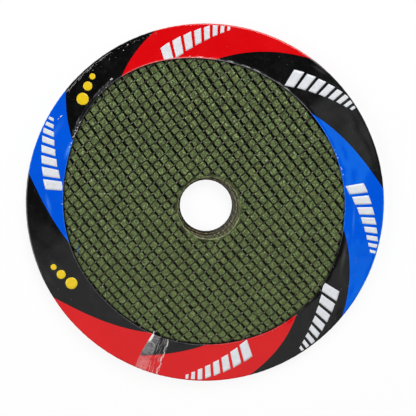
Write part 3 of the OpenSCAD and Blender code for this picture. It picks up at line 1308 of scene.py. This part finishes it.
def build_flecks():
    """Pale nicks, dust and painted highlights on the film, each a small uneven fan."""
    rng = np.random.default_rng(71)
    flecks = [*FLECKS, *scattered_flecks(rng)]
    corners = around(FLECK_SIDES)
    verts = []
    faces = []
    tint = []
    for r, deg, length, width, turn, grey in flecks:
        t = math.radians(deg)
        u = math.radians(turn)
        uneven = rng.uniform(0.7, 1.15, FLECK_SIDES)
        along = np.append(0.0, np.cos(corners) * uneven * length / 2)
        across = np.append(0.0, np.sin(corners) * uneven * width / 2)
        x = r * math.cos(t) + along * math.cos(u) - across * math.sin(u)
        y = r * math.sin(t) + along * math.sin(u) + across * math.cos(u)
        middle = len(verts)
        for k in range(FLECK_SIDES):
            faces.append((middle, middle + 1 + k, middle + 1 + (k + 1) % FLECK_SIDES))
        verts.extend(np.stack([x, y, lap_height(x, y) + FLECK_LIFT], -1))
        tint.extend([tone(grey, grey, grey)] * (FLECK_SIDES + 1))
    obj = make_piece("film_flecks", verts, faces, [SEAM], tint=tint)
    thicken(obj, FLECK_THICK)
    return obj


SHRED_STEPS = 14
SHRED_THICK = 0.03


def build_shred():
    """A thin torn strip of film lying on the mesh, its ends curled up."""
    f = np.linspace(0, 1, SHRED_STEPS)
    x = -38.5 + 0.1 * f + 0.12 * np.sin(5 * f)
    y = -11.3 - 3.7 * f
    z = FRONT_Z + 0.03 + 0.08 * (2 * f - 1) ** 2
    half = 0.13 * np.sin(math.pi * (0.08 + 0.84 * f))
    verts = np.concatenate([np.stack([x - half, y, z], -1), np.stack([x + half, y, z + 0.03], -1)])
    faces = grid_faces(0, 2, SHRED_STEPS)
    obj = make_piece("film_shred", verts, faces, [SEAM], tint=[tone(26, 84, 160)] * len(verts))
    face_up(obj)
    thicken(obj, SHRED_THICK)
    return obj


# Building

core = build_core()
front_pads = build_pads("front_pads", True, 101)
back_pads = build_pads("back_pads", False, 202)
front_coarse = build_threads("front_coarse_yarn", True, True, 303)
front_fine = build_threads("front_fine_yarn", True, False, 404)
back_coarse = build_threads("back_coarse_yarn", False, True, 505)
back_fine = build_threads("back_fine_yarn", False, False, 606)
lip = build_lip()
film = build_film()
seam = build_seam()
strokes = build_marks("marks_white", STROKE_ROWS, stroke_shapes, WHITE_INK)
dots = build_marks("marks_yellow", DOT_ROWS, dot_shapes, YELLOW_INK)
flecks = build_flecks()
shred = build_shred()

for piece in (core, front_pads, back_pads, front_coarse, front_fine, back_coarse, back_fine, lip):
    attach(piece, BODY)
for piece in (film, seam, strokes, dots, flecks, shred):
    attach(piece, BODY)
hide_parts("abrasive_wheel")
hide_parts("rim_film")


# Floor, light and camera

# The floor's flat part and the sweep up into its wall, in millimetres.
FLOOR_R = 2000.0
SWEEP_R = 1000.0
FLOOR_SIDES = 96
SWEEP_STEPS = 8
# Share of plain white in what the camera sees of the floor. The rest is the floor's own shading.
FLOOR_WHITE = 0.88


def floor_material():
    """A pale floor that looks nearly white to the camera and in reflections, and keeps its shadows."""
    n = Nodes("floor_white")
    path = n.add("ShaderNodeLightPath", {}).outputs
    seen = path["Is Camera Ray"]
    for ray in ("Is Glossy Ray", "Is Transmission Ray"):
        seen = n.add("ShaderNodeMath", {0: seen, 1: path[ray]}, operation="MAXIMUM").outputs[0]
    share = n.add("ShaderNodeMath", {0: seen, 1: FLOOR_WHITE}, operation="MULTIPLY").outputs[0]
    diffuse = n.add("ShaderNodeBsdfDiffuse", {"Color": (0.92, 0.92, 0.92, 1)}).outputs[0]
    glow = n.add("ShaderNodeEmission", {"Color": (1, 1, 1, 1), "Strength": 1.0}).outputs[0]
    mix = n.add("ShaderNodeMixShader", {"Fac": share, 1: diffuse, 2: glow}).outputs[0]
    n.fill(n.tree.nodes["Material Output"], {"Surface": mix})
    n.tree.nodes.remove(n.shader)
    return n.material


def build_floor():
    """A round studio floor that sweeps up into a wall all round, out of the camera's view."""
    turn = around(FLOOR_SIDES)
    verts = []
    faces = [tuple(range(FLOOR_SIDES))]
    for k in range(SWEEP_STEPS + 1):
        t = k / SWEEP_STEPS * QUARTER_TURN
        r = FLOOR_R + SWEEP_R * math.sin(t)
        z = SWEEP_R * (1 - math.cos(t))
        verts.extend((r * math.cos(a), r * math.sin(a), z) for a in turn)
    for k in range(SWEEP_STEPS):
        faces.extend(band_faces(k * FLOOR_SIDES, (k + 1) * FLOOR_SIDES, FLOOR_SIDES))
    floor = make_piece("floor", verts, faces, [floor_material()])


def area_light(name, place, aim, size, power, spin=0.0):
    """A white panel lamp, turned by spin degrees about its own axis."""
    data = bpy.data.lights.new(name, "AREA")
    data.shape = "RECTANGLE"
    data.size, data.size_y = size
    data.energy = power
    obj = bpy.data.objects.new(name, data)
    obj.location = place
    facing = (Vector(aim) - Vector(place)).to_track_quat("-Z", "Y")
    obj.rotation_euler = (facing @ Quaternion((0, 0, 1), math.radians(spin))).to_euler()
    bpy.context.scene.collection.objects.link(obj)


CAMERA_AIM = Vector((0.5896, -0.6975, 3.2)) * MM
CAMERA_DISTANCE = 215 * MM
CAMERA_TILT = math.radians(4.686)
CAMERA_TURN = math.radians(107.6)
CAMERA_LENS = 62.124


def build_camera():
    """A camera that looks down on the wheel, a little off its axis, with +Y up in the picture."""
    data = bpy.data.cameras.new("camera")
    data.sensor_width = 36.0
    data.sensor_fit = "HORIZONTAL"
    data.lens = CAMERA_LENS
    data.clip_start = 0.005
    camera = bpy.data.objects.new("camera", data)
    away = Vector((
        math.sin(CAMERA_TILT) * math.cos(CAMERA_TURN),
        math.sin(CAMERA_TILT) * math.sin(CAMERA_TURN),
        math.cos(CAMERA_TILT),
    ))
    right = Vector((0, 1, 0)).cross(away).normalized()
    up = away.cross(right)
    camera.location = CAMERA_AIM + away * CAMERA_DISTANCE
    camera.rotation_euler = Matrix((right, up, away)).transposed().to_euler()
    bpy.context.scene.collection.objects.link(camera)
    return camera


build_floor()
scene = bpy.context.scene
scene.view_settings.view_transform = "Standard"
world = bpy.data.worlds.new("studio")
world.use_nodes = True
world.node_tree.nodes["Background"].inputs["Color"].default_value = (1, 1, 1, 1)
world.node_tree.nodes["Background"].inputs["Strength"].default_value = 0.06
scene.world = world

area_light("key", (0.17, 0.46, 0.44), (0, 0, 0), (0.40, 0.40), 3.9)
area_light("left", (-0.50, -0.08, 0.36), (0, 0, 0), (0.30, 0.30), 2.0)
area_light("right", (0.50, -0.16, 0.36), (0, 0, 0), (0.30, 0.30), 0.65)
# Two low panels that the film mirrors as a soft haze.
area_light("haze", (-0.0425, -0.222, 0.50), (-0.0425, -0.222, 0), (0.445, 0.296), 0.232)
area_light("haze_right", (0.157, 0.031, 0.50), (0.157, 0.031, 0), (0.075, 0.092), 0.0159, 23)
scene.camera = build_camera()

bpy.context.view_layer.update()
